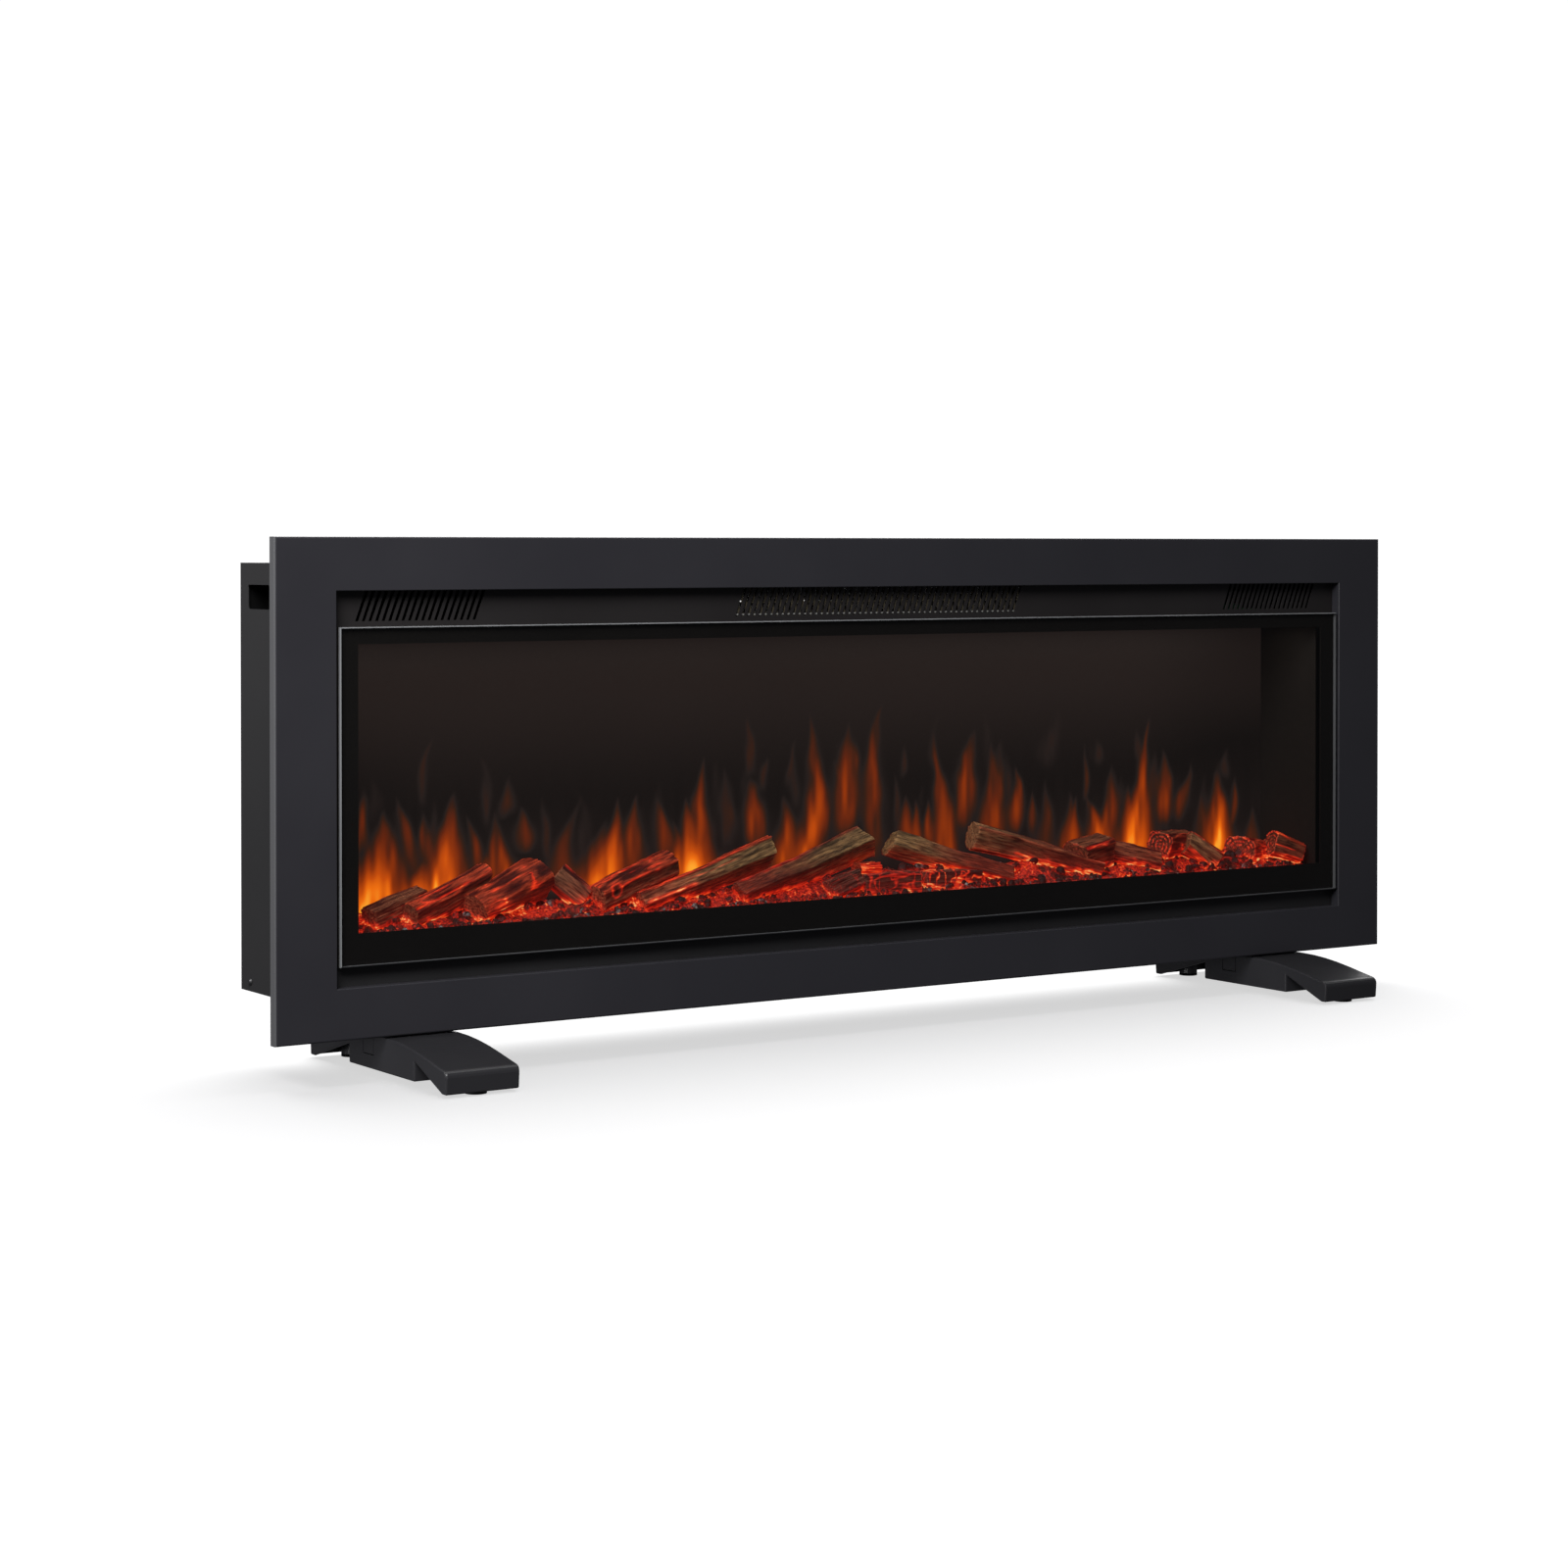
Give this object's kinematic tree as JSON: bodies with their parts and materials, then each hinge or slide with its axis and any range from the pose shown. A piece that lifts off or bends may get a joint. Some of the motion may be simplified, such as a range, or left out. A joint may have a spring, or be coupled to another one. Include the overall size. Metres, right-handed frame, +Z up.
{
  "type": "electric fireplace",
  "caption": "Wide linear electric fireplace on two arched feet: flat black frame, glass front, log bed with a flame screen, slotted warm-air grille above, side controls.",
  "frame": {"origin": "on the ground, under the middle of the whole object's footprint", "axes": "+X to the right along the width as seen from the front, +Y towards the back, +Z up"},
  "size_m": [1.27, 0.264, 0.468],
  "materials": {
    "powder_coat": "satin charcoal-black powder coat",
    "sheet_black": "matt black powder coat",
    "inner_black": "dead matt black",
    "glass": "clear, polished, ground edge",
    "smoked_screen": "smoked diffuser that the flame picture falls on",
    "zinc_steel": "zinc plated",
    "bright_reflector": "mirror film",
    "aluminium": "bare",
    "black_plastic": "fine moulded texture",
    "foot_plastic": "fine moulded texture, dark grey",
    "white_plastic": "natural nylon",
    "circuit_board": "solder mask",
    "rubber": "matt",
    "ember_resin": "translucent resin, lit from below",
    "log_resin": "painted resin, bark and split wood",
    "screw_steel": "blackened"
  },
  "bodies": {
    "fireplace": {"front_frame": "powder_coat", "front_glass": "glass", "glass_carrier": "inner_black", "vent_panel": "sheet_black", "heater_guard": "zinc_steel", "top_cover": "sheet_black", "bottom_pan": "sheet_black", "rear_panel": "sheet_black", "left_end_panel": "sheet_black", "right_end_panel": "sheet_black", "left_grip_cup": "black_plastic", "right_grip_cup": "black_plastic", "left_end_screw": "screw_steel", "right_end_screw": "screw_steel", "left_liner": "inner_black", "right_liner": "inner_black", "ceiling_panel": "inner_black", "ember_tray": "zinc_steel", "flame_screen": "smoked_screen", "ember_bed": "ember_resin", "log_01": "log_resin", "log_02": "log_resin", "log_03": "log_resin", "log_04": "log_resin", "log_05": "log_resin", "log_06": "log_resin", "log_07": "log_resin", "log_08": "log_resin", "log_09": "log_resin", "log_10": "log_resin", "log_11": "log_resin", "log_12": "log_resin", "log_13": "log_resin", "log_14": "log_resin", "flame_template": "zinc_steel", "rotor_bush": "white_plastic", "rotor_motor": "zinc_steel", "flame_led_board": "circuit_board", "ember_led_board": "circuit_board", "heater_duct": "zinc_steel", "heating_element": "aluminium", "fan_motor": "zinc_steel", "fan_bush": "rubber", "control_board": "circuit_board", "control_bezel": "black_plastic", "cord_gland": "rubber", "left_foot": "foot_plastic", "right_foot": "foot_plastic", "left_foot_front_pad": "rubber", "left_foot_back_pad": "rubber", "right_foot_front_pad": "rubber", "right_foot_back_pad": "rubber"},
    "flame_spindle": {"flame_rotor": "bright_reflector"},
    "fan": {"fan_impeller": "aluminium"},
    "rocker": {"main_switch": "black_plastic"},
    "standby_key": {"standby_button": "black_plastic"},
    "flame_key": {"flame_button": "black_plastic"},
    "heater_key": {"heater_button": "black_plastic"},
    "left_latch": {"left_foot_latch": "foot_plastic"},
    "right_latch": {"right_foot_latch": "foot_plastic"}
  },
  "joints": [
    {"name": "flame_rotor_spin", "type": "hinge", "parent": "fireplace", "child": "flame_spindle", "pos_m": [0, 0.0915, 0.118], "axis": [1, 0, 0], "continuous": true},
    {"name": "fan_spin", "type": "hinge", "parent": "fireplace", "child": "fan", "pos_m": [0, 0.063, 0.415], "axis": [1, 0, 0], "continuous": true},
    {"name": "main_switch_rock", "type": "hinge", "parent": "fireplace", "child": "rocker", "pos_m": [0.605, 0.049, 0.35], "axis": [0, -1, 0], "range_deg": [0, 16]},
    {"name": "standby_button_press", "type": "slide", "parent": "fireplace", "child": "standby_key", "axis": [-1, 0, 0], "range_m": [0, 0.0015], "stiffness_N_per_m": 500},
    {"name": "flame_button_press", "type": "slide", "parent": "fireplace", "child": "flame_key", "axis": [-1, 0, 0], "range_m": [0, 0.0015], "stiffness_N_per_m": 500},
    {"name": "heater_button_press", "type": "slide", "parent": "fireplace", "child": "heater_key", "axis": [-1, 0, 0], "range_m": [0, 0.0015], "stiffness_N_per_m": 500},
    {"name": "left_latch_press", "type": "hinge", "parent": "fireplace", "child": "left_latch", "pos_m": [-0.528, 0.0135, 0.033], "axis": [0, -1, 0], "range_deg": [0, 10], "stiffness_Nm_per_rad": 0.5},
    {"name": "right_latch_press", "type": "hinge", "parent": "fireplace", "child": "right_latch", "pos_m": [0.462, 0.0135, 0.033], "axis": [0, -1, 0], "range_deg": [0, 10], "stiffness_Nm_per_rad": 0.5}
  ]
}
